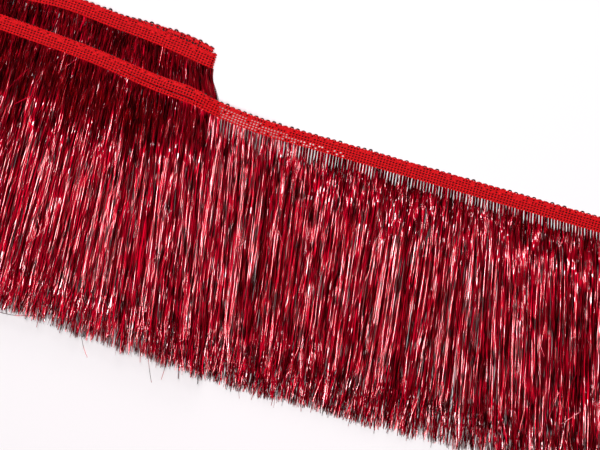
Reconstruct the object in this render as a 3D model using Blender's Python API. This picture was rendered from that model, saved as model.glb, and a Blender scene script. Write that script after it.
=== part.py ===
"""Red tinsel fringe trim with a chain-stitched heading, wound flat in two turns, whose outer end runs out straight.

One heading ribbon follows the whole winding. Under its lower edge hang five skirts of fringe, one for each run of the
heading, each a narrow backing strip with a row of locks. Each lock stands for the tinsel of one or two weft loops.

+X runs along the loose tail to its cut end, +Y from the tips of the fringe to the heading, +Z up from the surface.
The origin is under the middle of the tail's heading. Sizes below are in millimetres until scaled by MM.
"""

import math
import random
from collections import namedtuple

import bmesh
import bpy
from mathutils import Vector

MM = 0.001

# The heading ribbon
HEADING_WIDTH = 10.0
HEADING_THICKNESS = 1.4
RUN_STEP = 8.0
FOLD_STEPS = 6
SLOPE_REACH = 1.0

# The layers of the winding: how much higher each one lies than the one under it
LAYER_RISE = 2.2

# The skirts of fringe
SEAM_GAP = 0.3
BACKING_WIDTH = 2.0
SKIRT_THICKNESS = 1.7
LOOP_PITCH = 3.94
LOCK_GAP = 0.6
LOCK_TIP_SHARE = 0.78
LOCK_TIP_THICKNESS = 1.1
CLUMP_LENGTH = 27.0
CLUMP_DRIFT_LENGTH = 250.0
CLUMP_DRIFT = 1.7
CLUMP_PULL = 0.9
CUT_RAGGEDNESS = 1.5
HIDDEN_LOCK_LENGTH = 148.0
SEED = 6

# The winding's ends along X, and where its outer run comes down to the surface
TAIL_END_X = 97.0
LEFT_FOLD_X = -338.0
INNER_FOLD_X = -336.0
RIGHT_FOLD_X = -182.0
INNER_END_X = -186.0
STEP_TOP_X = -160.0
STEP_FOOT_X = -100.0

# How far below the heading a strand of that run needs to sink to the surface
STEP_SETTLES_IN = 42.0

# Where the locks on top pass the tips of the hidden layers and come down: Y, and share of the height still left
Drop = namedtuple("Drop", "y share")
TIP_DROPS = (Drop(-70.0, 1.0), Drop(-128.0, 1.0), Drop(-139.0, 0.48), Drop(-149.0, 0.0))

# The heading's centre line on each run, seen from above
Turn = namedtuple("Turn", "x y")
TAIL_LINE = (Turn(STEP_FOOT_X, 0.0), Turn(TAIL_END_X, 0.0))
FRONT_LINE = (
    Turn(LEFT_FOLD_X, 18.9),
    Turn(-316.8, 17.5),
    Turn(-250.4, 13.0),
    Turn(-209.8, 7.7),
    Turn(-186.6, 5.9),
    Turn(-168.0, 2.7),
    Turn(-143.8, 0.2),
    Turn(STEP_FOOT_X, 0.0),
)
BACK_LINE = (Turn(LEFT_FOLD_X, 18.9), Turn(RIGHT_FOLD_X, 31.0))
UPPER_LINE = (
    Turn(INNER_FOLD_X, 38.5),
    Turn(-306.0, 39.4),
    Turn(-281.0, 40.9),
    Turn(-242.0, 37.9),
    Turn(-220.0, 36.2),
    Turn(RIGHT_FOLD_X, 31.0),
)
INNER_LINE = (
    Turn(INNER_FOLD_X, 38.5),
    Turn(-273.0, 37.6),
    Turn(-199.0, 38.2),
    Turn(INNER_END_X, 36.2),
)

# Layers by their height above the surface, 0 for the lowest
Run = namedtuple("Run", "line layer")
TAIL = Run(TAIL_LINE, 0)
FRONT = Run(FRONT_LINE, 3)
BACK = Run(BACK_LINE, 0)
UPPER = Run(UPPER_LINE, 2)
INNER = Run(INNER_LINE, 1)

# How the strands lean from the heading's perpendicular towards +X, in degrees, by where they hang
Lean = namedtuple("Lean", "x degrees")
LEANS = (
    Lean(-340.0, 1.0),
    Lean(-275.0, 1.2),
    Lean(-245.0, 3.0),
    Lean(-215.0, 7.0),
    Lean(-195.0, 9.0),
    Lean(-10.0, 9.0),
    Lean(12.0, 12.5),
    Lean(55.0, 14.5),
    Lean(97.0, 14.5),
)

# The line that the visible tips are cut to
Cut = namedtuple("Cut", "x y")
CUT_LINE = (
    Cut(-345.0, -152.5),
    Cut(-266.0, -153.5),
    Cut(-167.0, -156.0),
    Cut(-100.0, -159.0),
    Cut(-30.0, -159.5),
    Cut(25.0, -156.0),
    Cut(130.0, -155.0),
)

# Strands that hang from the right fold swing out past it, most at the fold itself
FLARE_REACH = 10.0
FLARE_FADES_IN = 16.0
FLARE_LENGTH = 26.0

# One row for each skirt of fringe: its run, where its locks begin and end along X, loops in a lock, and where the
# locks bend, as shares of their length
Skirt = namedtuple("Skirt", "name run first_x last_x loops bends")
SKIRTS = (
    Skirt("fringe_tail", TAIL, -99.7, 96.5, 1, (0.33, 0.67)),
    Skirt("fringe_front", FRONT, -336.5, -100.3, 1, None),
    Skirt("fringe_upper", UPPER, -334.5, -183.0, 1, (0.1, 0.22, 0.6)),
    Skirt("fringe_inner", INNER, -334.5, -188.0, 2, (0.12, 0.5)),
    Skirt("fringe_back", BACK, -336.5, -184.0, 2, (0.12, 0.5)),
)
STEP_BENDS = (0.1, 0.2, 0.3, 0.65)

TINSEL_RED = (0.36, 0.012, 0.02)
HEADING_RED = (0.42, 0.012, 0.018)


def clear_scene():
    for old in list(bpy.data.objects):
        bpy.data.objects.remove(old, do_unlink=True)


def smooth(share):
    """0 to 1 with a level start and end."""
    share = min(1.0, max(0.0, share))
    return share * share * (3.0 - 2.0 * share)


def between(table, x):
    """The second column of a table at x, smooth through its rows and level beyond its ends."""
    if x <= table[0][0]:
        return table[0][1]
    if x >= table[-1][0]:
        return table[-1][1]
    slopes = [(b[1] - a[1]) / (b[0] - a[0]) for a, b in zip(table, table[1:])]
    tangents = [slopes[0]] + [(a + b) / 2.0 for a, b in zip(slopes, slopes[1:])] + [slopes[-1]]
    row = next(i for i in range(len(slopes)) if x <= table[i + 1][0])
    start, end = table[row], table[row + 1]
    width = end[0] - start[0]
    t = (x - start[0]) / width
    rise = width * (tangents[row] * (t - 2.0 * t * t + t**3) + tangents[row + 1] * (t**3 - t * t))
    return start[1] + (end[1] - start[1]) * smooth(t) + rise


def straight_between(table, x):
    """The second column of a table at x, straight from row to row."""
    for start, end in zip(table, table[1:]):
        if min(start[0], end[0]) <= x <= max(start[0], end[0]):
            return start[1] + (end[1] - start[1]) * (x - start[0]) / (end[0] - start[0])
    return table[0][1] if abs(x - table[0][0]) < abs(x - table[-1][0]) else table[-1][1]


def underside(run, x):
    """The height of a run's underside: level on its layer, but the outer run steps down to the surface."""
    level = run.layer * LAYER_RISE
    if run is FRONT:
        level *= 1.0 - smooth((x - STEP_TOP_X) / (STEP_FOOT_X - STEP_TOP_X))
    return level


def across(run, x):
    """The level direction across the ribbon, from its lower to its upper edge."""
    slope = (between(run.line, x + SLOPE_REACH) - between(run.line, x - SLOPE_REACH)) / (2.0 * SLOPE_REACH)
    return Vector((-slope, 1.0, 0.0)).normalized()


def centre(run, x):
    return Vector((x, between(run.line, x), underside(run, x) + HEADING_THICKNESS / 2.0))


def run_stations(run, start_x, end_x, face):
    """Places along a run, each as the ribbon's centre, the direction across it, and the way its outer face looks.

    Face is +1 where that face looks up and -1 where it looks down.
    """
    count = round(abs(end_x - start_x) / RUN_STEP)
    stations = []
    for i in range(count + 1):
        x = start_x + (end_x - start_x) * i / count
        along = centre(run, x + SLOPE_REACH) - centre(run, x - SLOPE_REACH)
        side = across(run, x)
        stations.append((centre(run, x), side, along.cross(side).normalized() * face))
    return stations


def fold_stations(old_run, new_run, x, outward):
    """Places round a half-round fold at x, from one run to the next. Outward is +1 for a fold that points to +X."""
    start, end = centre(old_run, x), centre(new_run, x)
    middle = (start + end) / 2.0
    radius = (end.z - start.z) / 2.0
    stations = []
    for i in range(1, FOLD_STEPS):
        share = i / FOLD_STEPS
        angle = math.pi * (share - 0.5)
        bulge = Vector((outward * math.cos(angle) * abs(radius), 0.0, math.sin(angle) * radius))
        side = across(old_run, x).lerp(across(new_run, x), share).normalized()
        stations.append((middle + bulge, side, bulge.normalized()))
    return stations


def heading_stations():
    """The ribbon's places from the cut end of the tail, round the winding, to its inner end."""
    return (
        run_stations(TAIL, TAIL_END_X, STEP_FOOT_X, 1.0)
        + run_stations(FRONT, STEP_FOOT_X, LEFT_FOLD_X, 1.0)[1:]
        + fold_stations(FRONT, BACK, LEFT_FOLD_X, -1.0)
        + run_stations(BACK, LEFT_FOLD_X, RIGHT_FOLD_X, -1.0)
        + fold_stations(BACK, UPPER, RIGHT_FOLD_X, 1.0)
        + run_stations(UPPER, RIGHT_FOLD_X, INNER_FOLD_X, 1.0)
        + fold_stations(UPPER, INNER, INNER_FOLD_X, -1.0)
        + run_stations(INNER, INNER_FOLD_X, INNER_END_X, -1.0)
    )


def ring(mesh, corners):
    return [mesh.verts.new(corner * MM) for corner in corners]


def bridge(mesh, old, new):
    """Four walls from one ring of corners to the next."""
    for i in range(4):
        j = (i + 1) % 4
        mesh.faces.new((old[i], old[j], new[j], new[i]))


def finish(mesh, name, material):
    """Turns the faces outwards and makes the object."""
    bmesh.ops.recalc_face_normals(mesh, faces=mesh.faces)
    data = bpy.data.meshes.new(name)
    mesh.to_mesh(data)
    mesh.free()
    data.materials.append(material)
    made = bpy.data.objects.new(name, data)
    bpy.context.scene.collection.objects.link(made)
    return made


def principled(name, colour, roughness, metallic):
    material = bpy.data.materials.new(name)
    material.use_nodes = True
    shader = material.node_tree.nodes["Principled BSDF"]
    shader.inputs["Base Color"].default_value = (*colour, 1.0)
    shader.inputs["Roughness"].default_value = roughness
    shader.inputs["Metallic"].default_value = metallic
    return material


def make_heading():
    """The chain-stitched heading: one ribbon, swept round the whole winding."""
    mesh = bmesh.new()
    rings = []
    for at, side, normal in heading_stations():
        wide = side * (HEADING_WIDTH / 2.0)
        high = normal * (HEADING_THICKNESS / 2.0)
        rings.append(ring(mesh, (at - wide - high, at + wide - high, at + wide + high, at - wide + high)))
    for old, new in zip(rings, rings[1:]):
        bridge(mesh, old, new)
    mesh.faces.new(rings[0])
    mesh.faces.new(rings[-1])
    return finish(mesh, "heading", principled("heading_chains", HEADING_RED, 0.45, 0.1))


def clump_shift(x, share):
    """How far locks draw together in clumps towards their tips, without meeting."""
    drift = CLUMP_DRIFT * math.sin(2.0 * math.pi * x / CLUMP_DRIFT_LENGTH)
    return CLUMP_PULL * math.sin(2.0 * math.pi * x / CLUMP_LENGTH + drift) * smooth(share)


def flare(run, x, distance):
    """How far strands near the right fold swing out past it."""
    if run not in (BACK, UPPER, INNER):
        return 0.0
    return FLARE_REACH * math.exp((x - RIGHT_FOLD_X) / FLARE_FADES_IN) * smooth(distance / FLARE_LENGTH)


def lock_length(run, root, direction, rng):
    """The visible runs are cut to the cut line, and the hidden ones to one length."""
    if run not in (TAIL, FRONT):
        return HIDDEN_LOCK_LENGTH
    tip_x = root.x + direction.x * HIDDEN_LOCK_LENGTH
    tip_y = between(CUT_LINE, tip_x) + rng.uniform(-CUT_RAGGEDNESS, CUT_RAGGEDNESS)
    return (tip_y - root.y) / direction.y


def lock_bends(skirt, root, direction, length):
    """Distances down a lock at which it bends: where its height changes, if it hangs from the outer run."""
    if skirt.bends:
        return [share * length for share in skirt.bends]
    if root.x > STEP_TOP_X:
        return [share * length for share in STEP_BENDS]
    return [(drop.y - root.y) / direction.y for drop in TIP_DROPS]


def lock_height(run, root, point, distance):
    """The underside of a lock: it keeps its layer's level, and sinks to the surface where nothing lies under it."""
    if run is not FRONT:
        return root.z
    if root.x > STEP_TOP_X:
        return root.z * (1.0 - smooth(distance / STEP_SETTLES_IN))
    return root.z * straight_between(TIP_DROPS, point.y)


def make_skirt(skirt, material):
    """A backing strip parted from the heading's edge, and a row of locks drawn out of its lower wall."""
    rng = random.Random(SEED)
    mesh = bmesh.new()
    reach = skirt.last_x - skirt.first_x + LOCK_GAP
    count = round(reach / (LOOP_PITCH * skirt.loops))
    pitch = reach / count
    half = (pitch - LOCK_GAP) / 2.0
    inset = HEADING_WIDTH / 2.0 + SEAM_GAP
    columns = []
    for i in range(count):
        for edge_x in (skirt.first_x + pitch * i, skirt.first_x + pitch * i + 2.0 * half):
            side = across(skirt.run, edge_x)
            base = Vector((edge_x, between(skirt.run.line, edge_x), underside(skirt.run, edge_x)))
            upper_edge = base - side * inset
            lower_edge = base - side * (inset + BACKING_WIDTH)
            top = Vector((0.0, 0.0, SKIRT_THICKNESS))
            columns.append(ring(mesh, (lower_edge, upper_edge, upper_edge + top, lower_edge + top)))
    for j, (old, new) in enumerate(zip(columns, columns[1:])):
        for a, b in ((0, 1), (1, 2), (2, 3)):
            mesh.faces.new((old[a], old[b], new[b], new[a]))
        if j % 2:
            mesh.faces.new((old[3], old[0], new[0], new[3]))
    mesh.faces.new(columns[0])
    mesh.faces.new(columns[-1])
    for i in range(count):
        left, right = columns[2 * i], columns[2 * i + 1]
        draw_lock(mesh, skirt, (left[0], right[0], right[3], left[3]), half, rng)
    return finish(mesh, skirt.name, material)


def draw_lock(mesh, skirt, mouth, half, rng):
    """One four-sided lock, from its mouth in the backing strip to its cut tip."""
    root = (mouth[0].co + mouth[1].co) / (2.0 * MM)
    lean = math.radians(between(LEANS, root.x))
    direction = Vector((math.sin(lean), -math.cos(lean), 0.0))
    length = lock_length(skirt.run, root, direction, rng)
    old = mouth
    for distance in lock_bends(skirt, root, direction, length) + [length]:
        share = distance / length
        point = root + direction * distance
        point.x += clump_shift(root.x, share) + flare(skirt.run, root.x, distance)
        point.z = lock_height(skirt.run, root, point, distance)
        wide = Vector((half * (1.0 + (LOCK_TIP_SHARE - 1.0) * share), 0.0, 0.0))
        high = Vector((0.0, 0.0, SKIRT_THICKNESS + (LOCK_TIP_THICKNESS - SKIRT_THICKNESS) * share))
        new = ring(mesh, (point - wide, point + wide, point + wide + high, point - wide + high))
        bridge(mesh, old, new)
        old = new
    mesh.faces.new(old)


def main():
    clear_scene()
    make_heading()
    tinsel = principled("tinsel", TINSEL_RED, 0.35, 0.6)
    for skirt in SKIRTS:
        make_skirt(skirt, tinsel)


main()
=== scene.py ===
"""The looks of a red tinsel fringe trim, wound flat in two turns with its outer end run out straight.

The heading is built stitch by stitch: a net of yarn, six lengthwise chains on it, and the weft loops that
cross them. The fringe is thousands of thin strips of metallic film that hang from the weft's legs. All of it
is laid out along the runs of the winding, as the solids are. Lengths are in millimetres until scaled by MM.
"""

import math
from collections import namedtuple

import bpy
import numpy as np
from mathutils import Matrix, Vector


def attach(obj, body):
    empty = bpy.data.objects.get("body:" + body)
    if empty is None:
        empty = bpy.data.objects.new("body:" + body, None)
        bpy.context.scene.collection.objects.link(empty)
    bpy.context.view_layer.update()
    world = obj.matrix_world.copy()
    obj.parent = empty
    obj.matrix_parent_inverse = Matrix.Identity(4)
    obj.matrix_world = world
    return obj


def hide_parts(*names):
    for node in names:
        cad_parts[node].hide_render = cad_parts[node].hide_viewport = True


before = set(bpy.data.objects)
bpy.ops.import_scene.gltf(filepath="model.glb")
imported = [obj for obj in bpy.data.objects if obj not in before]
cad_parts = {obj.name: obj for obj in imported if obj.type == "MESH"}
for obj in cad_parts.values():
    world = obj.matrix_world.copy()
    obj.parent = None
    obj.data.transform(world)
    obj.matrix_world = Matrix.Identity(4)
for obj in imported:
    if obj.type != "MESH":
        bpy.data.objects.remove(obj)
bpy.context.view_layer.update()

MM = 0.001
SEED = 11
rng = np.random.default_rng(SEED)

# No point of a piece lies lower than this above the floor
LOWEST = 0.03

# The winding, laid out as in the solids, but its hidden inner end lies a few millimetres further on
HEADING_THICKNESS = 1.4
LAYER_RISE = 2.2
TAIL_END_X = 97.0
LEFT_FOLD_X = -338.0
INNER_FOLD_X = -336.0
RIGHT_FOLD_X = -182.0
INNER_END_X = -181.2
STEP_TOP_X = -160.0
STEP_FOOT_X = -100.0
STATION_STEP = 0.5
SLOPE_REACH = 1.0
FOLD_STEPS = 12

# Layers count up from the surface. A face of 1 looks up, and one of -1 looks down
Turn = namedtuple("Turn", "x y")
Run = namedtuple("Run", "name line layer face")
TAIL = Run("tail", (Turn(STEP_FOOT_X, 0.0), Turn(TAIL_END_X, 0.0)), 0, 1.0)
FRONT = Run(
    "front",
    (
        Turn(LEFT_FOLD_X, 18.9),
        Turn(-316.8, 17.5),
        Turn(-250.4, 13.0),
        Turn(-209.8, 7.7),
        Turn(-186.6, 5.9),
        Turn(-168.0, 2.7),
        Turn(-143.8, 0.2),
        Turn(STEP_FOOT_X, 0.0),
    ),
    3,
    1.0,
)
BACK = Run("back", (Turn(LEFT_FOLD_X, 18.9), Turn(RIGHT_FOLD_X, 31.0)), 0, -1.0)
UPPER = Run(
    "upper",
    (
        Turn(INNER_FOLD_X, 38.5),
        Turn(-306.0, 39.4),
        Turn(-281.0, 40.9),
        Turn(-242.0, 37.9),
        Turn(-220.0, 36.2),
        Turn(RIGHT_FOLD_X, 31.0),
    ),
    2,
    1.0,
)
INNER = Run(
    "inner",
    (Turn(INNER_FOLD_X, 38.5), Turn(-273.0, 37.6), Turn(-199.0, 37.4), Turn(INNER_END_X, 34.0)),
    1,
    -1.0,
)
RUNS = (TAIL, FRONT, BACK, UPPER, INNER)
OUTER_RUNS = (TAIL, FRONT)

# How the strands lean from straight down towards +X, by where they hang
Lean = namedtuple("Lean", "x degrees")
LEANS = (
    Lean(-340.0, 1.0),
    Lean(-275.0, 1.2),
    Lean(-245.0, 3.0),
    Lean(-215.0, 7.0),
    Lean(-195.0, 9.0),
    Lean(-10.0, 9.0),
    Lean(12.0, 12.5),
    Lean(55.0, 14.5),
    Lean(97.0, 14.5),
)

# The line that the outer runs are cut to, and the length that the others are cut to
Cut = namedtuple("Cut", "x y")
CUT_LINE = (
    Cut(-345.0, -151.5),
    Cut(-266.0, -152.0),
    Cut(-243.0, -151.0),
    Cut(-220.0, -153.5),
    Cut(-167.0, -156.0),
    Cut(-100.0, -159.0),
    Cut(-67.0, -157.0),
    Cut(-25.0, -158.0),
    Cut(25.0, -156.0),
    Cut(130.0, -155.0),
)
HIDDEN_LENGTH = 148.0

# The heading's chains of stitches
CHAINS = 6
CHAIN_PITCH = 1.64
LEG_PITCH = 1.97
STITCH_HALF_LENGTH = 0.84
STITCH_HALF_WIDTH = 0.42
STITCH_HEAD_WIDER = 0.25
STITCH_SLANT = math.radians(12.0)
STITCH_RISE = 0.1
STITCH_HEAD_RISE = 0.22
STITCH_STATIONS = 8
YARN_RADIUS = 0.29
YARN_SIDES = 5

# How much the stitches differ from one another
SIZE_VARIES = 0.05
PLACE_ALONG_VARIES = 0.05
PLACE_ACROSS_VARIES = 0.04
SLANT_VARIES = 0.07

# The net of yarn under the chains: bars across it, bands along it, and its faces by their height
BAR_WIDTH = 0.76
BAND_WIDTH = 0.56
NET_TOP = -0.08
NET_BOTTOM = -0.5

# The beads of yarn on the heading's underside
BEAD_CORNERS = 6
BEAD_HALF_LENGTH = 0.92
BEAD_HALF_WIDTH = 0.56
BEAD_BASE = -0.48
BEAD_RISE = 0.2
INNER_BEAD_RISE = 0.4

# The weft's legs and the loops over the upper edge, which bend to and fro a little
WEFT_FOOT = -5.2
WEFT_SHOULDER = 4.55
WEFT_CROWN = 0.38
WEFT_DEPTH = -0.28
WEFT_HALF_WIDTH = 0.34
WEFT_HALF_THICKNESS = 0.2
WEFT_SIDES = 6
LEG_STEPS = 8
LOOP_STEPS = 6
LOOP_BENDS_ABOVE = 4.0
LOOP_BEND_VARIES = 0.2

# Cells of the net that stand open where the heading is lifted off the surface, ever fewer to the right
Open = namedtuple("Open", "x share first_row")
OPEN_CELLS = (
    Open(-185.0, 0.0, 1.0),
    Open(-184.0, 0.8, 1.0),
    Open(-145.0, 0.85, 1.0),
    Open(-120.0, 0.7, 2.5),
    Open(-96.0, 0.5, 2.5),
    Open(-78.0, 0.0, 3.0),
)

# The share of the other cells filled with film painted nearly black, as painted shade between the chains,
# from the upper row down
SHADE_PAINTED_CELLS = (0.4, 0.85, 1.0, 1.0, 1.0, 1.0)

# The slit below the fourth chain, which opens where the front run comes to the right fold
Slit = namedtuple("Slit", "x width")
SLIT = (Slit(-240.0, 0.0), Slit(-215.0, 0.5), Slit(-191.0, 1.2), Slit(-177.0, 0.0))
SLIT_SHOWS_FROM = 0.1
SLIT_SHARE_ABOVE = 0.75
CHAINS_ABOVE_SLIT = 4
SLIT_COLUMN = 2 * CHAINS_ABOVE_SLIT - 1


def smooth(share):
    share = np.clip(share, 0.0, 1.0)
    return share * share * (3.0 - 2.0 * share)


def between(table, x):
    """The second column of a table at x, smooth through its rows and level beyond its ends."""
    xs = np.array([row[0] for row in table])
    ys = np.array([row[1] for row in table])
    slopes = np.diff(ys) / np.diff(xs)
    tangents = np.concatenate([slopes[:1], (slopes[1:] + slopes[:-1]) / 2.0, slopes[-1:]])
    x = np.clip(x, xs[0], xs[-1])
    row = np.clip(np.searchsorted(xs, x) - 1, 0, len(slopes) - 1)
    width = np.diff(xs)[row]
    t = (x - xs[row]) / width
    rise = width * (tangents[row] * (t - 2.0 * t * t + t**3) + tangents[row + 1] * (t**3 - t * t))
    return ys[row] + (ys[row + 1] - ys[row]) * smooth(t) + rise


def column(table, name, x):
    """A named column of a table at x, straight between its rows."""
    return np.interp(x, [row.x for row in table], [getattr(row, name) for row in table])


def unit(v):
    return v / np.linalg.norm(v, axis=-1, keepdims=True)


def underside(run, x):
    """The height of a run's underside: level on its layer, but the front run steps down to the surface."""
    level = np.full(np.shape(x), run.layer * LAYER_RISE)
    if run is FRONT:
        level = level * (1.0 - smooth((x - STEP_TOP_X) / (STEP_FOOT_X - STEP_TOP_X)))
    return level


def centre(run, x):
    return np.stack([x, between(run.line, x), underside(run, x) + HEADING_THICKNESS / 2.0], axis=-1)


def across(run, x):
    rise = between(run.line, x + SLOPE_REACH) - between(run.line, x - SLOPE_REACH)
    slope = rise / (2.0 * SLOPE_REACH)
    return unit(np.stack([-slope, np.ones_like(x), np.zeros_like(x)], axis=-1))


def run_stations(run, start_x, end_x):
    """Centre, direction across and outward normal at every step along a run."""
    x = np.linspace(start_x, end_x, int(abs(end_x - start_x) / STATION_STEP) + 1)
    along = centre(run, x + STATION_STEP) - centre(run, x - STATION_STEP)
    side = across(run, x)
    return centre(run, x), side, unit(np.cross(along, side)) * run.face


def fold_stations(old_run, new_run, x, outward):
    """The same round a fold: half a turn in the upright plane, from one run to the next."""
    share = np.arange(1, FOLD_STEPS)[:, None] / FOLD_STEPS
    start, end = centre(old_run, np.array([x])), centre(new_run, np.array([x]))
    radius = (end - start)[0, 2] / 2.0
    angle = math.pi * (share[:, 0] - 0.5)
    bulge = np.stack([outward * np.cos(angle) * abs(radius), 0.0 * angle, np.sin(angle) * radius], axis=-1)
    side = unit(across(old_run, np.array([x])) * (1.0 - share) + across(new_run, np.array([x])) * share)
    return (start + end) / 2.0 + bulge, side, unit(bulge)


class Ribbon:
    """The heading's middle surface, from the cut end of the tail round the winding to its inner end."""

    def __init__(self):
        legs = (
            (TAIL, run_stations(TAIL, TAIL_END_X, STEP_FOOT_X)),
            (FRONT, run_stations(FRONT, STEP_FOOT_X - STATION_STEP, LEFT_FOLD_X)),
            (FRONT, fold_stations(FRONT, BACK, LEFT_FOLD_X, -1.0)),
            (BACK, run_stations(BACK, LEFT_FOLD_X, RIGHT_FOLD_X)),
            (UPPER, fold_stations(BACK, UPPER, RIGHT_FOLD_X, 1.0)),
            (UPPER, run_stations(UPPER, RIGHT_FOLD_X, INNER_FOLD_X)),
            (UPPER, fold_stations(UPPER, INNER, INNER_FOLD_X, -1.0)),
            (INNER, run_stations(INNER, INNER_FOLD_X, INNER_END_X)),
        )
        self.centre, self.side, self.normal = (np.concatenate([leg[1][k] for leg in legs]) for k in range(3))
        self.run = np.concatenate([np.full(len(leg[1][0]), RUNS.index(leg[0])) for leg in legs])
        steps = np.linalg.norm(np.diff(self.centre, axis=0), axis=1)
        self.along = np.concatenate([[0.0], np.cumsum(steps)])
        self.length = self.along[-1]

    def read(self, values, s):
        return np.stack([np.interp(s, self.along, values[:, k]) for k in range(3)], axis=-1)

    def place(self, s, v, h):
        """Points at s along the ribbon, v across it and h out of its face."""
        side, normal = self.read(self.side, s), self.read(self.normal, s)
        return self.read(self.centre, s) + side * np.asarray(v)[..., None] + normal * np.asarray(h)[..., None]

    def on(self, s, *runs):
        """Whether the ribbon belongs to one of the runs at s."""
        here = self.run[np.clip(np.searchsorted(self.along, s), 0, len(self.along) - 1)]
        return np.isin(here, [RUNS.index(run) for run in runs])

    def slit(self, s):
        """How far the slit below the fourth chain stands open."""
        facing_up = self.read(self.normal, s)[..., 2] > 0.5
        x = self.read(self.centre, s)[..., 0]
        return np.where(self.on(s, FRONT) & facing_up, column(SLIT, "width", x), 0.0)

    def chain_offset(self, chain, s):
        """Where a chain lies across the ribbon. The slit spreads the chains above it and lowers the rest."""
        base = (CHAINS / 2.0 - 0.5 - chain) * CHAIN_PITCH
        if chain < CHAINS_ABOVE_SLIT:
            return base + self.slit(s) * (CHAINS_ABOVE_SLIT - chain) / CHAINS_ABOVE_SLIT * SLIT_SHARE_ABOVE
        return base - self.slit(s) * (1.0 - SLIT_SHARE_ABOVE)


ribbon = Ribbon()
loop_count = int(ribbon.length / (2.0 * LEG_PITCH))
leg_s = (np.arange(loop_count * 2) + 0.5) * LEG_PITCH


def mesh_piece(name, points, faces, materials, replaced=(), sharp=None, chosen=None, uv=None):
    """A smooth-shaded piece that rides on the root body, from arrays of quads and triangles."""
    points = np.array(points)
    points[:, 2] = np.maximum(points[:, 2], LOWEST)
    corners = np.concatenate([group.ravel() for group in faces]).astype(np.int32)
    sizes = np.concatenate([np.full(len(group), group.shape[1], np.int32) for group in faces])
    data = bpy.data.meshes.new(name)
    data.vertices.add(len(points))
    data.vertices.foreach_set("co", (points * MM).astype(np.float32).ravel())
    data.loops.add(len(corners))
    data.loops.foreach_set("vertex_index", corners)
    data.polygons.add(len(sizes))
    data.polygons.foreach_set("loop_start", (np.cumsum(sizes) - sizes).astype(np.int32))
    for material in materials:
        data.materials.append(material)
    if chosen is not None:
        data.polygons.foreach_set("material_index", chosen.astype(np.int32))
    if uv is not None:
        data.uv_layers.new(name="strip").data.foreach_set("uv", uv[corners].astype(np.float32).ravel())
    data.update(calc_edges=True)
    data.shade_smooth()
    if sharp:
        data.set_sharp_from_angle(angle=sharp)
    made = bpy.data.objects.new(name, data)
    bpy.context.scene.collection.objects.link(made)
    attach(made, "root")
    if replaced:
        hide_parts(*replaced)
    return made


def grid_quads(rings, sides, closed_along=False):
    """Quads of a tube, from rings of sides corners. The ends of an open tube get no caps here."""
    ring = np.arange(rings if closed_along else rings - 1)[:, None]
    side = np.arange(sides)[None, :]
    a = ring * sides + side
    b = ring * sides + (side + 1) % sides
    c = ((ring + 1) % rings) * sides + (side + 1) % sides
    d = ((ring + 1) % rings) * sides + side
    return np.stack([a, d, c, b], axis=-1).reshape(-1, 4)


def many(faces, copies, points_each):
    """The faces of a template, repeated for each copy of its points."""
    return (faces[None] + (np.arange(copies) * points_each)[:, None, None]).reshape(-1, faces.shape[1])


def round_corners(corners):
    return np.arange(corners) / corners * 2.0 * math.pi


def stitch_template():
    """One chain stitch as a closed loop of yarn, slanted, its head raised over the next stitch's foot."""
    turn = round_corners(STITCH_STATIONS)
    u = STITCH_HALF_LENGTH * np.cos(turn)
    v = STITCH_HALF_WIDTH * np.sin(turn) * (1.0 + STITCH_HEAD_WIDER * np.cos(turn))
    h = STITCH_HEAD_RISE * np.cos(turn) + STITCH_RISE
    slanted = np.stack(
        [
            u * math.cos(STITCH_SLANT) - v * math.sin(STITCH_SLANT),
            u * math.sin(STITCH_SLANT) + v * math.cos(STITCH_SLANT),
            h,
        ],
        axis=-1,
    )
    tangent = unit(np.roll(slanted, -1, axis=0) - np.roll(slanted, 1, axis=0))
    out = unit(np.cross(tangent, np.array([0.0, 0.0, 1.0])))
    up = np.cross(out, tangent)
    angle = round_corners(YARN_SIDES)
    ring = np.cos(angle)[None, :, None] * out[:, None] + np.sin(angle)[None, :, None] * up[:, None]
    return slanted[:, None] + YARN_RADIUS * ring


def make_chain(chain, material):
    """One lengthwise chain: a stitch over each leg of the weft."""
    template = stitch_template()
    stitches = len(leg_s)
    size, along, slant, aside = rng.normal(0.0, 1.0, (stitches, 4)).T[..., None, None]
    u = template[None, ..., 0] * (1.0 + SIZE_VARIES * size) + leg_s[:, None, None]
    u = u + PLACE_ALONG_VARIES * along
    v = template[None, ..., 1] + SLANT_VARIES * slant * template[None, ..., 0] + PLACE_ACROSS_VARIES * aside
    v = v + ribbon.chain_offset(chain, leg_s)[:, None, None]
    h = np.broadcast_to(template[None, ..., 2], u.shape)
    points = ribbon.place(np.clip(u, 0.0, ribbon.length), v, h).reshape(-1, 3)
    rings, sides = template.shape[:2]
    quads = many(grid_quads(rings, sides, closed_along=True), stitches, rings * sides)
    return mesh_piece(f"heading_chain_{chain + 1}", points, [quads], [material])


def rim_quads(tops, solid, under):
    """Upright quads wherever a solid face of a grid has no solid neighbour."""
    padded = np.pad(solid, 1)
    rows, columns = solid.shape
    quads = []
    for row, col, start, end in ((-1, 0, 0, 1), (0, 1, 1, 2), (1, 0, 2, 3), (0, -1, 3, 0)):
        beside = padded[1 + row : 1 + row + rows, 1 + col : 1 + col + columns]
        rim = tops[solid & ~beside]
        a, b = rim[:, start], rim[:, end]
        quads.append(np.stack([b, a, a + under, b + under], axis=-1))
    return quads


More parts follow.
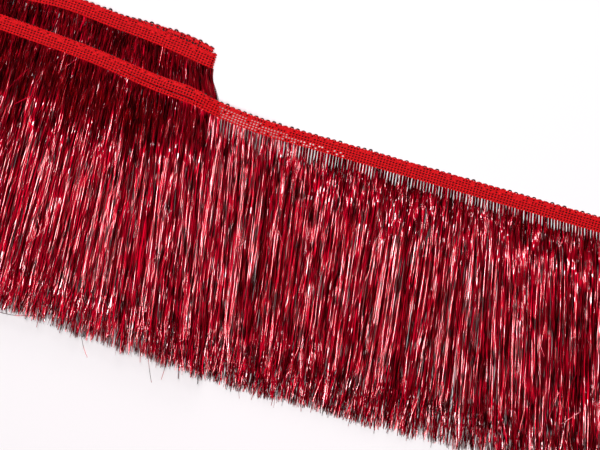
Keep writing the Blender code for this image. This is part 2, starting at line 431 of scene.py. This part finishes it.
def make_ground(yarn, dark):
    """The net of yarn under the chains: a band along each chain and a bar along each leg.

    The cells between them are filled with yarn, with film painted nearly black as painted shade between the
    chains, or stand open.
    """
    starts = leg_s - BAR_WIDTH / 2.0
    s = np.stack([starts, starts + BAR_WIDTH], axis=-1).ravel()
    v = []
    for chain in range(CHAINS):
        offset = ribbon.chain_offset(chain, s)
        v += [offset + BAND_WIDTH / 2.0, offset - BAND_WIDTH / 2.0]
    v = np.stack(v, axis=-1)
    rows, columns = v.shape
    across_s = np.repeat(s[:, None], columns, axis=1)
    faces = [ribbon.place(across_s, v, np.full_like(v, h)).reshape(-1, 3) for h in (NET_TOP, NET_BOTTOM)]

    i, j = np.meshgrid(np.arange(rows - 1), np.arange(columns - 1), indexing="ij")
    x = ribbon.read(ribbon.centre, s)[i, 0]
    cell = (i % 2 == 1) & (j % 2 == 1)
    low_enough = j > 2.0 * column(OPEN_CELLS, "first_row", x)
    outer = ribbon.on(s, *OUTER_RUNS)[i]
    lifted = outer & low_enough & (rng.random(x.shape) < column(OPEN_CELLS, "share", x))
    slit = (j == SLIT_COLUMN) & (ribbon.slit(s)[i] > SLIT_SHOWS_FROM)
    solid = ~((cell & lifted) | slit)
    # Cells that take the nearly black film: painted shade between the chains
    deep = cell & (rng.random(x.shape) < np.array(SHADE_PAINTED_CELLS)[j // 2])

    first = i * columns + j
    tops = np.stack([first, first + 1, first + columns + 1, first + columns], axis=-1)
    under = rows * columns
    filled = tops[solid]
    quads = [filled, filled[:, ::-1] + under] + rim_quads(tops, solid, under)
    chosen = np.ones(sum(len(group) for group in quads))
    chosen[: 2 * len(filled)] = np.tile(deep[solid], 2)
    points = np.concatenate(faces)
    return mesh_piece("heading_ground", points, quads, [yarn, dark], ("heading",), chosen=chosen)


def make_backs(material):
    """The backs of the stitches: a low bead of yarn behind each, on the underside of the heading."""
    angle = round_corners(BEAD_CORNERS)
    u = np.append(BEAD_HALF_LENGTH * np.cos(angle), 0.0)
    v = np.append(BEAD_HALF_WIDTH * np.sin(angle), 0.0)
    rise = np.where(ribbon.on(leg_s, INNER), INNER_BEAD_RISE, BEAD_RISE)
    h = BEAD_BASE - rise[:, None] * np.append(np.zeros(BEAD_CORNERS), 1.0)
    points = []
    for chain in range(CHAINS):
        offset = ribbon.chain_offset(chain, leg_s)
        points.append(ribbon.place(leg_s[:, None] + u[None], offset[:, None] + v[None], h))
    ring = np.arange(BEAD_CORNERS)
    fan = np.stack([ring, np.full(BEAD_CORNERS, BEAD_CORNERS), (ring + 1) % BEAD_CORNERS], axis=-1)
    lid = np.array([[0, k + 1, k + 2] for k in range(BEAD_CORNERS - 2)])
    triangles = many(np.concatenate([fan, lid]), CHAINS * len(leg_s), BEAD_CORNERS + 1)
    points = np.concatenate(points).reshape(-1, 3)
    return mesh_piece("heading_backs", points, [triangles], [material])


def make_weft(material):
    """The tinsel weft: two legs and a small loop over the upper edge for each pair of stitches."""
    half = LEG_PITCH / 2.0
    leg = np.linspace(WEFT_FOOT, WEFT_SHOULDER, LEG_STEPS + 1)[:-1]
    turn = np.linspace(math.pi, 0.0, LOOP_STEPS + 1)
    u = np.concatenate([np.full(LEG_STEPS, -half), half * np.cos(turn), np.full(LEG_STEPS, half)])
    v = np.concatenate([leg, WEFT_SHOULDER + WEFT_CROWN * np.sin(turn), leg[::-1]])
    path = np.stack([u, v, np.zeros_like(u)], axis=-1)
    tangent = unit(np.gradient(path, axis=0))
    up = np.array([0.0, 0.0, 1.0])
    out = np.cross(tangent, up)
    angle = round_corners(WEFT_SIDES)
    ring = WEFT_HALF_WIDTH * np.cos(angle)[None, :, None] * out[:, None]
    ring = ring + WEFT_HALF_THICKNESS * np.sin(angle)[None, :, None] * up
    template = path[:, None] + ring + up * WEFT_DEPTH

    s = (np.arange(loop_count) + 0.5) * 2.0 * LEG_PITCH
    across_bend, upward_bend = LOOP_BEND_VARIES * rng.normal(0.0, 1.0, (loop_count, 2)).T[..., None, None]
    above = np.maximum(0.0, template[None, ..., 1] - LOOP_BENDS_ABOVE)
    u = template[None, ..., 0] + s[:, None, None]
    v = template[None, ..., 1] + above * across_bend
    h = template[None, ..., 2] + above * upward_bend
    points = ribbon.place(np.clip(u, 0.0, ribbon.length), v, h).reshape(-1, 3)

    rings = len(path)
    end = (rings - 1) * WEFT_SIDES
    cap = np.array([[0, 1, 2, 3], [0, 3, 4, 5]])
    faces = np.concatenate([grid_quads(rings, WEFT_SIDES), cap, end + cap[:, ::-1]])
    quads = many(faces, loop_count, rings * WEFT_SIDES)
    return mesh_piece("heading_weft", points, [quads], [material])


# How the strips of each run hang. They stay bundled over a share of the length that ROLLS gives for the legs
Hang = namedtuple("Hang", "strips_per_leg pile_depth bundled_share leg_spread")
HANGS = {
    "tail": Hang(32, 2.6, 1.0, 0.32),
    "front": Hang(32, 2.4, 1.0, 0.3),
    "back": Hang(6, 1.5, 0.1, 1.0),
    "upper": Hang(17, 1.7, 0.6, 0.4),
    "inner": Hang(6, 1.5, 0.1, 1.0),
}
LEG_FOOT = -4.6

# The strips' own size. The lowest of the pile are wider, so that little light comes through
STRIP_STEPS = 10
STEPS_CLOSER_AT_TOP = 1.5
STRIP_WIDTH = 0.4
STRIP_WIDTH_RANGE = (0.7, 1.3)
STRIP_RIDGE = 0.03
LOW_STRIPS = 0.2
LOW_STRIPS_WIDER = 0.35
MOST_STRIPS = 3150
SHARP_EDGE = math.radians(50.0)

# The last stretch of the strips, which is rolled, narrower and splayed
TIP_LENGTH = 22.0
TIP_ROLL = 38.0
TIP_TAPER = 14.0
TIP_NARROWER = 0.2
TIP_SPLAY = 2.6

# How unevenly the strips are cut: most end a little before the cut line, a few well before it or past it
CUT_REACH = 3.6
CUT_FALLS_SHORT = 6.0
SHORT_SHARE = 0.14
SHORT_BY = 16.0
HAIR_SHARE = 0.04
HAIR_BY = 4.5
RAGGED_BY = 1.3

# How the strips part from their legs, sway, gather in clumps, and swing out past the right fold
PARTS_BY = 1.2
PARTS_START = 0.3
PARTS_LENGTH = 3.5
SWAY = 0.4
SWAY_LENGTH = 34.0
SWAY_FADES_IN = 60.0
CLUMP_PULL = 0.9
CLUMP_LAYERS = 3.0
CLUMP_LAYER_SHIFT = 7.0
CLUMP_FADES_IN = 80.0
FLARE_REACH = 6.5
FLARE_FADES_IN = 16.0
FLARE_START = 2.0
FLARE_LENGTH = 26.0

# How deep the strips pile, how they settle below the step, and how the layers sink towards the tips
ROOT_PILE = 0.7
ROOT_SPREAD = 0.3
PILE_START = 3.0
PILE_LENGTH = 30.0
PILE_LIFT = 0.25
PILE_CROWDING = 0.8
PILE_BUMPS = 0.16
RIPPLE = 0.18
RIPPLE_LENGTH = 11.0
SETTLE_START = 4.0
SETTLE_LENGTH = 60.0
SINK_START_Y = -80.0
SINK_LENGTH = 75.0
SINK_SHARE = 0.3

# By X: how far the legs reach below the heading, how many degrees the strips are turned on edge there and
# over what length, the share of it at their feet, and how many degrees their roll varies further down
Roll = namedtuple("Roll", "x legs edge length foot spread")
ROLLS = (
    Roll(-340.0, 9.0, 62.0, 64.0, 0.5, 41.0),
    Roll(-275.0, 9.0, 63.0, 68.0, 0.45, 41.0),
    Roll(-258.0, 9.0, 64.0, 70.0, 0.4, 41.0),
    Roll(-236.0, 9.0, 64.0, 64.0, 0.35, 43.0),
    Roll(-207.0, 9.0, 64.0, 54.0, 0.3, 46.0),
    Roll(-176.0, 9.0, 62.0, 42.0, 0.3, 50.0),
    Roll(-170.0, 9.0, 12.0, 8.0, 1.0, 48.0),
    Roll(-135.0, 9.0, 16.0, 9.0, 1.0, 52.0),
    Roll(-114.0, 8.0, 42.0, 22.0, 0.8, 60.0),
    Roll(-75.0, 5.0, 54.0, 30.0, 0.76, 66.0),
    Roll(97.0, 4.0, 54.0, 34.0, 0.76, 66.0),
)

# The same on the runs behind the outer ones
BEHIND_EDGE = 39.0
BEHIND_EDGE_LENGTH = 70.0

# How the roll varies from strip to strip and along each
FOOT_START = 3.0
FOOT_LENGTH = 6.0
EDGE_LENGTH_RANGE = (0.55, 1.35)
EDGE_PATCHES = 0.3
FREED_START = 0.4
FREED_LENGTH = 0.7
TWIST_CHANGES = 0.3
TWIST_LENGTH = 24.0
TWIST_AT_TOP = 0.22

# Smooth noise: its seed, and the length of each wave across the fringe and down it
Waves = namedtuple("Waves", "seed lengths")
RAGGED_WAVES = Waves(8, ((5.0, 1.0), (11.0, 1.0), (23.0, 1.0)))
CLUMP_WAVES = Waves(3, ((9.0, 120.0), (15.0, 150.0), (27.0, 190.0)))
BUMP_WAVES = Waves(5, ((16.0, 50.0), (27.0, 70.0)))
PATCH_WAVES = Waves(6, ((17.0, 1.0), (41.0, 1.0)))
WAVE_DRIFT = 1.3


def waves(x, y, kind):
    """Smooth noise about 0, from sines of a few wavelengths across x, drifting with y."""
    local = np.random.default_rng(kind.seed)
    total = np.zeros(np.broadcast(x, y).shape)
    for length_x, length_y in kind.lengths:
        phase = local.uniform(0.0, 2.0 * math.pi, 2)
        drift = WAVE_DRIFT * np.sin(2.0 * math.pi * y / length_y + phase[0])
        total = total + np.sin(2.0 * math.pi * x / length_x + drift + phase[1])
    return total / math.sqrt(len(kind.lengths))


def leg_roots(run):
    """Where the legs of a run come out below the heading."""
    s = leg_s[ribbon.on(leg_s, run)]
    return ribbon.place(s, np.full_like(s, LEG_FOOT), np.zeros_like(s))


def near_tip(s, length):
    """From 0 to 1 over the last stretch of each strip."""
    return smooth((s - s[:, -1:] + length) / length)


def strip_lengths(run, roots, fall):
    """The outer runs are cut to the cut line, and the others to one length, all of them unevenly."""
    n = len(roots)
    if run in OUTER_RUNS:
        tip_x = roots[:, 0] + fall[:, 0] * HIDDEN_LENGTH
        length = (between(CUT_LINE, tip_x) - roots[:, 1]) / fall[:, 1]
    else:
        length = np.full(n, HIDDEN_LENGTH)
    short = np.where(rng.random(n) < SHORT_SHARE, rng.uniform(0.0, SHORT_BY, n), 0.0)
    ragged = RAGGED_BY * waves(roots[:, 0], 0.0, RAGGED_WAVES)
    hairs = np.where(rng.random(n) < HAIR_SHARE, rng.uniform(0.0, HAIR_BY, n), 0.0)
    return length + CUT_REACH + ragged + hairs - rng.exponential(CUT_FALLS_SHORT, n) - short


def strip_heights(run, roots, depth, s, x, y, phase):
    """The heights of the strips: on their layer, piled by their depth, sinking to the surface or the tips."""
    base = roots[:, 2:3] - HEADING_THICKNESS / 2.0
    settled = base * (1.0 - smooth((s - SETTLE_START) / SETTLE_LENGTH))
    sunk = base * (1.0 - SINK_SHARE * smooth((SINK_START_Y - y) / SINK_LENGTH))
    base = np.where((roots[:, 0:1] > STEP_TOP_X) & (run is FRONT), settled, sunk)
    pile = ROOT_PILE + (HANGS[run.name].pile_depth - ROOT_PILE) * smooth((s - PILE_START) / PILE_LENGTH)
    bumps = 1.0 + PILE_BUMPS * waves(x, y, BUMP_WAVES)
    ripple = RIPPLE * np.sin(s / RIPPLE_LENGTH + phase)
    return base + PILE_LIFT + depth[:, None] ** PILE_CROWDING * pile * bumps + ripple


def strip_paths(run, roots, depth):
    """Where the strips of a run go: points along each, and how far along it they are."""
    hang = HANGS[run.name]
    n = len(roots)
    lean = np.radians(between(LEANS, roots[:, 0]))
    fall = np.stack([np.sin(lean), -np.cos(lean)], axis=-1)
    share = (np.arange(STRIP_STEPS + 1) / STRIP_STEPS) ** STEPS_CLOSER_AT_TOP
    s = share[None] * strip_lengths(run, roots, fall)[:, None]
    root_x = roots[:, 0:1]
    phase = rng.uniform(0.0, 2.0 * math.pi, (n, 3))

    x = root_x + fall[:, 0:1] * s + rng.normal(0.0, hang.leg_spread, (n, 1))
    bundled = column(ROLLS, "legs", root_x) * hang.bundled_share
    parted = smooth((s - bundled * PARTS_START) / (bundled * PARTS_LENGTH))
    x = x + rng.normal(0.0, PARTS_BY, (n, 1)) * parted
    x = x + SWAY * np.sin(s / SWAY_LENGTH + phase[:, 0:1]) * smooth(s / SWAY_FADES_IN)
    x = x + rng.normal(0.0, TIP_SPLAY, (n, 1)) * near_tip(s, TIP_LENGTH)
    layer = np.floor(depth * CLUMP_LAYERS)[:, None]
    clump = waves(root_x + CLUMP_LAYER_SHIFT * layer, s, CLUMP_WAVES)
    x = x + CLUMP_PULL * clump * smooth(s / CLUMP_FADES_IN)
    if run not in OUTER_RUNS:
        by_fold = np.exp(np.minimum(0.0, root_x - RIGHT_FOLD_X) / FLARE_FADES_IN)
        x = x + FLARE_REACH * by_fold * smooth((s - FLARE_START) / FLARE_LENGTH)
    y = roots[:, 1:2] + fall[:, 1:2] * s
    z = strip_heights(run, roots, depth, s, x, y, phase[:, 2:3])

    points = np.stack([x, y, z], axis=-1)
    points[:, 0, 1:] = roots[:, 1:]
    points[:, 0, 2] += rng.uniform(-ROOT_SPREAD, ROOT_SPREAD, n)
    return points, s


def strip_rolls(run, roots, s):
    """How far each strip is rolled about its length: on edge below the heading, then slowly twisting."""
    n = len(roots)
    columns = ("edge", "length", "foot", "spread")
    edge, length, foot, spread = (column(ROLLS, name, roots[:, 0])[:, None] for name in columns)
    if run not in OUTER_RUNS:
        edge, length = np.full_like(edge, BEHIND_EDGE), np.full_like(length, BEHIND_EDGE_LENGTH)
        foot = np.ones_like(foot)
    patches = 1.0 + EDGE_PATCHES * waves(roots[:, 0:1], 0.0, PATCH_WAVES)
    length = length * patches * rng.uniform(*EDGE_LENGTH_RANGE, (n, 1))
    freed = smooth((s - FREED_START * length) / (FREED_LENGTH * length))
    edge = edge * (foot + (1.0 - foot) * smooth((s - FOOT_START) / FOOT_LENGTH))
    sign = np.where(rng.random((n, 1)) < 0.5, -1.0, 1.0)
    phase = rng.uniform(0.0, 2.0 * math.pi, (n, 1))
    twist = rng.normal(0.0, 1.0, (n, 1))
    twist = twist + rng.normal(0.0, TWIST_CHANGES, (n, 1)) * np.sin(s / TWIST_LENGTH + phase)
    one_way = sign * (edge * (1.0 - freed) + TIP_ROLL * near_tip(s, TIP_LENGTH))
    return np.radians(one_way + spread * twist * (TWIST_AT_TOP + (1.0 - TWIST_AT_TOP) * freed))


def strip_corners(points, roll, width):
    """Three corners at each point along each strip: its two edges and a low ridge between them."""
    tangent = unit(np.gradient(points, axis=1))
    level = unit(np.cross(tangent, np.array([0.0, 0.0, 1.0])))
    up = np.cross(level, tangent)
    wide = level * np.cos(roll)[..., None] + up * np.sin(roll)[..., None]
    half = wide * width[..., None] / 2.0
    ridge = np.cross(wide, tangent) * STRIP_RIDGE
    return np.stack([points - half, points + half, points + ridge], axis=2)


def strips_piece(name, corners, material, replaced=()):
    """Closed strips as one piece. Its map holds a number for each strip, and how far along it a point is."""
    n, rings, sides = corners.shape[:3]
    quads = many(grid_quads(rings, sides), n, rings * sides)
    end = (rings - 1) * sides
    caps = many(np.array([[0, 1, 2], [end + 2, end + 1, end]]), n, rings * sides)
    middle = corners.mean(axis=2)
    steps = np.linalg.norm(np.diff(middle, axis=1, prepend=middle[:, :1]), axis=2)
    along = np.cumsum(steps, axis=1) * MM
    uv = np.stack([np.repeat(rng.random((n, 1)), rings, axis=1), along], axis=-1)
    uv = np.repeat(uv[:, :, None], sides, axis=2).reshape(-1, 2)
    points = corners.reshape(-1, 3)
    return mesh_piece(name, points, [quads, caps], [material], replaced, SHARP_EDGE, uv=uv)


def make_fringe(run, material):
    """The strips of one run, from the weft's legs to their cut tips, in as few pieces as can be."""
    roots = np.repeat(leg_roots(run), HANGS[run.name].strips_per_leg, axis=0)
    n = len(roots)
    depth = rng.random(n)
    points, s = strip_paths(run, roots, depth)
    roll = strip_rolls(run, roots, s)
    low = 1.0 + LOW_STRIPS_WIDER * (depth < LOW_STRIPS)
    width = (STRIP_WIDTH * low * rng.uniform(*STRIP_WIDTH_RANGE, n))[:, None]
    width = width * (1.0 - TIP_NARROWER * near_tip(s, TIP_TAPER))
    corners = strip_corners(points, roll, width)
    pieces = math.ceil(n / MOST_STRIPS)
    replaced = (f"fringe_{run.name}",)
    return [
        strips_piece(f"fringe_{run.name}_strips_{part + 1}", corners[part::pieces], material, replaced)
        for part in range(pieces)
    ]


# Single strips across the others or past the tips: where each starts, how many degrees it points away from
# straight down, its length, how many degrees it turns on the way, and its height
Stray = namedtuple("Stray", "x y degrees length turn height")
STRAYS = (
    Stray(-229.5, -126.1, -24.5, 16.4, 2.0, 8.6),
    Stray(-204.5, -129.2, 37.0, 14.0, 3.0, 8.3),
    Stray(-214.0, -150.0, 10.0, 21.0, 28.0, 0.4),
    Stray(-169.5, -154.0, 18.0, 20.0, 8.0, 0.4),
    Stray(-156.5, -155.0, 4.0, 14.0, -6.0, 0.4),
    Stray(-243.0, -152.0, -62.0, 26.0, -30.0, 0.4),
    Stray(-289.0, -6.0, -32.0, 18.0, 5.0, 9.6),
    Stray(-294.0, -12.0, 22.0, 15.0, -8.0, 9.6),
    Stray(-283.0, -22.0, -50.0, 11.0, 4.0, 9.6),
    Stray(-262.0, 8.0, -44.0, 13.0, 12.0, 9.4),
    Stray(-196.0, -16.0, 48.0, 8.0, 6.0, 9.4),
    Stray(91.5, -91.0, -9.0, 20.6, 4.0, 3.2),
    Stray(99.4, -116.0, -38.0, 13.8, -5.0, 3.2),
    Stray(40.0, -60.0, -12.0, 24.0, 5.0, 3.2),
)
STRAY_WIDTH = 0.3
STRAY_STEPS = 5
STRAY_ROLL = 14.0

# Those that are scattered over the pile
SCATTERED = 90
SCATTERED_X = (-325.0, 90.0)
SCATTERED_Y = (-140.0, -35.0)
SCATTERED_LENGTH = (9.0, 24.0)
SCATTERED_LEAN = 17.0
SCATTERED_TURN = 7.0
SCATTERED_HEIGHT = 3.0


def scattered_strays():
    """Rows like those of STRAYS, for short strips that cross the pile at small angles."""
    x = rng.uniform(*SCATTERED_X, SCATTERED)
    y = rng.uniform(*SCATTERED_Y, SCATTERED)
    degrees = between(LEANS, x) + rng.normal(0.0, SCATTERED_LEAN, SCATTERED)
    length = rng.uniform(*SCATTERED_LENGTH, SCATTERED)
    turn = rng.normal(0.0, SCATTERED_TURN, SCATTERED)
    sunk = 1.0 - SINK_SHARE * smooth((SINK_START_Y - y) / SINK_LENGTH)
    return np.stack([x, y, degrees, length, turn, underside(FRONT, x) * sunk + SCATTERED_HEIGHT], axis=-1)


def make_strays(material):
    rows = np.concatenate([np.array(STRAYS), scattered_strays()])
    x, y, degrees, length, turn, height = rows.T[..., None]
    share = np.linspace(0.0, 1.0, STRAY_STEPS + 1)[None]
    angle = np.radians(degrees + turn * share)
    step = np.diff(share, prepend=0.0) * length
    path_x = x + np.cumsum(np.sin(angle) * step, axis=1)
    path_y = y - np.cumsum(np.cos(angle) * step, axis=1)
    points = np.stack([path_x, path_y, np.broadcast_to(height, path_x.shape)], axis=-1)
    roll = np.broadcast_to(np.radians(rng.normal(0.0, STRAY_ROLL, (len(rows), 1))), path_x.shape)
    corners = strip_corners(points, roll, np.full(path_x.shape, STRAY_WIDTH))
    return strips_piece("fringe_strays", corners, material)


Stop = namedtuple("Stop", "position red green blue")


def new_material(name):
    material = bpy.data.materials.new(name)
    material.use_nodes = True
    return material, material.node_tree.nodes, material.node_tree.links


def noise(nodes, links, vector, scale, detail):
    texture = nodes.new("ShaderNodeTexNoise")
    texture.inputs["Scale"].default_value = scale
    texture.inputs["Detail"].default_value = detail
    links.new(vector, texture.inputs["Vector"])
    return texture.outputs["Fac"]


def ramp(nodes, links, value, stops):
    """Colours from the first stop to the second, as a value goes from one position to the other."""
    colours = nodes.new("ShaderNodeValToRGB")
    for element, stop in zip(colours.color_ramp.elements, stops):
        element.position = stop.position
        element.color = (stop.red, stop.green, stop.blue, 1.0)
    links.new(value, colours.inputs["Fac"])
    return colours.outputs["Color"]


def map_range(nodes, links, value, old, new):
    """A value carried over from the old range to the new one, and held at its ends."""
    mapped = nodes.new("ShaderNodeMapRange")
    mapped.inputs["From Min"].default_value, mapped.inputs["From Max"].default_value = old
    mapped.inputs["To Min"].default_value, mapped.inputs["To Max"].default_value = new
    links.new(value, mapped.inputs["Value"])
    return mapped.outputs["Result"]


# How fine the streaks are: noise cells for each unit of a strip's number and each metre of its length
STREAK_SCALE = (2000.0, 55.0, 1.0)
# The strips' colour varies at random from near-black to bright red; the near-black end is painted shade, for
# film that mirrors the dark surroundings and lies under other strips
STREAK_TONE_AND_SHADE_COLOURS = (Stop(0.45, 0.02, 0.0001, 0.0005), Stop(0.53, 0.59, 0.001, 0.02))
# Film painted nearly black: painted shade for the bunched weft and for the cells between the chains
SHADE_PAINTED_FILM_COLOURS = (Stop(0.4, 0.004, 0.0002, 0.0005), Stop(0.75, 0.03, 0.0005, 0.002))
YARN_COLOURS = (Stop(0.4, 0.38, 0.001, 0.003), Stop(0.6, 1.0, 0.008, 0.015))
FLOOR_COLOUR = (0.95, 0.945, 0.945, 1.0)


def tinsel_material():
    """Dyed metallic film: a broad crimson shine, in bright streaks that also glint and in dark ones whose
    near-black colour is painted shade.
    """
    material, nodes, links = new_material("tinsel_film")
    shader = nodes["Principled BSDF"]
    place = nodes.new("ShaderNodeTexCoord")
    stretch = nodes.new("ShaderNodeMapping")
    stretch.inputs["Scale"].default_value = STREAK_SCALE
    links.new(place.outputs["UV"], stretch.inputs["Vector"])
    streaks = noise(nodes, links, stretch.outputs["Vector"], 1.0, 2.0)
    roughness = map_range(nodes, links, streaks, (0.3, 0.7), (0.4, 0.52))
    # Less coat on the dark strips, so that glints do not lift their painted shade
    gloss = map_range(nodes, links, streaks, (0.47, 0.54), (0.1, 1.0))
    links.new(ramp(nodes, links, streaks, STREAK_TONE_AND_SHADE_COLOURS), shader.inputs["Base Color"])
    links.new(roughness, shader.inputs["Roughness"])
    links.new(gloss, shader.inputs["Coat Weight"])
    shader.inputs["Metallic"].default_value = 1.0
    shader.inputs["Coat IOR"].default_value = 1.8
    shader.inputs["Coat Roughness"].default_value = 0.05
    return material


def shade_painted_film(name, coat):
    """The same red film, bunched in the heading: its colour painted nearly black as painted shade for the
    inside of the bundle and the dark it mirrors, with glints where it is coated.
    """
    material, nodes, links = new_material(name)
    shader = nodes["Principled BSDF"]
    place = nodes.new("ShaderNodeTexCoord")
    grain = noise(nodes, links, place.outputs["Object"], 1500.0, 2.0)
    links.new(ramp(nodes, links, grain, SHADE_PAINTED_FILM_COLOURS), shader.inputs["Base Color"])
    shader.inputs["Metallic"].default_value = 0.9
    shader.inputs["Roughness"].default_value = 0.6
    shader.inputs["Coat Weight"].default_value = coat
    shader.inputs["Coat Roughness"].default_value = 0.12
    return material


def yarn_material():
    """Bright red satin yarn with fine plies."""
    material, nodes, links = new_material("heading_yarn")
    shader = nodes["Principled BSDF"]
    place = nodes.new("ShaderNodeTexCoord")
    plies = noise(nodes, links, place.outputs["Object"], 2600.0, 3.0)
    links.new(ramp(nodes, links, plies, YARN_COLOURS), shader.inputs["Base Color"])
    bump = nodes.new("ShaderNodeBump")
    bump.inputs["Strength"].default_value = 0.4
    bump.inputs["Distance"].default_value = 0.0001
    links.new(plies, bump.inputs["Height"])
    links.new(bump.outputs["Normal"], shader.inputs["Normal"])
    shader.inputs["Roughness"].default_value = 0.55
    shader.inputs["Specular IOR Level"].default_value = 0.1
    return material


FLOOR_REACH = 0.9


def make_floor():
    """A plain pale floor. Its reach is in metres."""
    corners = [(x * FLOOR_REACH, y * FLOOR_REACH, 0) for x, y in ((-1, -1), (1, -1), (1, 1), (-1, 1))]
    data = bpy.data.meshes.new("floor")
    data.from_pydata(corners, [], [(0, 1, 2, 3)])
    material, nodes, _ = new_material("floor_white")
    nodes["Principled BSDF"].inputs["Base Color"].default_value = FLOOR_COLOUR
    nodes["Principled BSDF"].inputs["Roughness"].default_value = 0.9
    data.materials.append(material)
    floor = bpy.data.objects.new("floor", data)
    bpy.context.scene.collection.objects.link(floor)


# The photograph's view: straight down, turned so that the tail runs down to the right
PIXELS_PER_MM = 1.6
FRAME_WIDTH_PX = 600.0
SENSOR_WIDTH = 36.0
VIEW_CENTRE = (-100.0, -52.1)
VIEW_TURN = math.radians(16.16)
VIEW_HEIGHT = 1300.0


def make_camera():
    data = bpy.data.cameras.new("camera")
    data.sensor_width = SENSOR_WIDTH
    data.lens = SENSOR_WIDTH * VIEW_HEIGHT / (FRAME_WIDTH_PX / PIXELS_PER_MM)
    camera = bpy.data.objects.new("camera", data)
    camera.location = (VIEW_CENTRE[0] * MM, VIEW_CENTRE[1] * MM, VIEW_HEIGHT * MM)
    camera.rotation_euler = (0.0, 0.0, VIEW_TURN)
    bpy.context.scene.collection.objects.link(camera)
    bpy.context.scene.camera = camera


# The lamps, in metres and watts
Lamp = namedtuple("Lamp", "name width length place power")
LAMPS = (
    Lamp("overhead", 0.24, 1.3, (-0.13, 0.0, 1.7), 29.0),
    Lamp("far_side", 0.5, 0.5, (-0.3, 1.6, 1.1), 7.0),
    Lamp("low_behind", 2.6, 0.8, (-0.2, 2.4, 0.5), 26.0),
)
LAMP_COLOUR = (1.0, 0.955, 0.978)


def make_lights():
    for lamp in LAMPS:
        data = bpy.data.lights.new(lamp.name, "AREA")
        data.shape = "RECTANGLE"
        data.size = lamp.width
        data.size_y = lamp.length
        data.energy = lamp.power
        data.color = LAMP_COLOUR
        light = bpy.data.objects.new(lamp.name, data)
        light.location = lamp.place
        aim = Vector((VIEW_CENTRE[0] * MM, VIEW_CENTRE[1] * MM, 0.0)) - light.location
        light.rotation_euler = aim.to_track_quat("-Z", "Y").to_euler()
        bpy.context.scene.collection.objects.link(light)


# The surroundings: nearly black as light, so that dark film stays dark, and pale where they are seen
SURROUNDINGS_AS_LIGHT = (0.012, 0.012, 0.012, 1.0)
SURROUNDINGS_AS_SEEN = (0.95, 0.94, 0.945, 1.0)


def make_surroundings():
    world = bpy.data.worlds.new("studio")
    world.use_nodes = True
    nodes, links = world.node_tree.nodes, world.node_tree.links
    path = nodes.new("ShaderNodeLightPath")
    mix = nodes.new("ShaderNodeMix")
    mix.data_type = "RGBA"
    mix.inputs["A"].default_value = SURROUNDINGS_AS_LIGHT
    mix.inputs["B"].default_value = SURROUNDINGS_AS_SEEN
    links.new(path.outputs["Is Camera Ray"], mix.inputs["Factor"])
    links.new(mix.outputs["Result"], nodes["Background"].inputs["Color"])
    bpy.context.scene.world = world
    bpy.context.scene.view_settings.view_transform = "Standard"


def main():
    # The weft and the net's dark cells take film painted nearly black, as painted shade
    yarn, tinsel, weft = yarn_material(), tinsel_material(), shade_painted_film("weft_film", 0.25)
    ground = make_ground(yarn, shade_painted_film("heading_shade_film", 0.0))
    parts = [make_chain(chain, yarn) for chain in range(CHAINS)]
    parts.append(make_backs(yarn))
    parts.append(make_weft(weft))
    for run in RUNS:
        parts += make_fringe(run, tinsel)
    parts.append(make_strays(tinsel))
    make_floor()
    make_camera()
    make_lights()
    make_surroundings()


main()
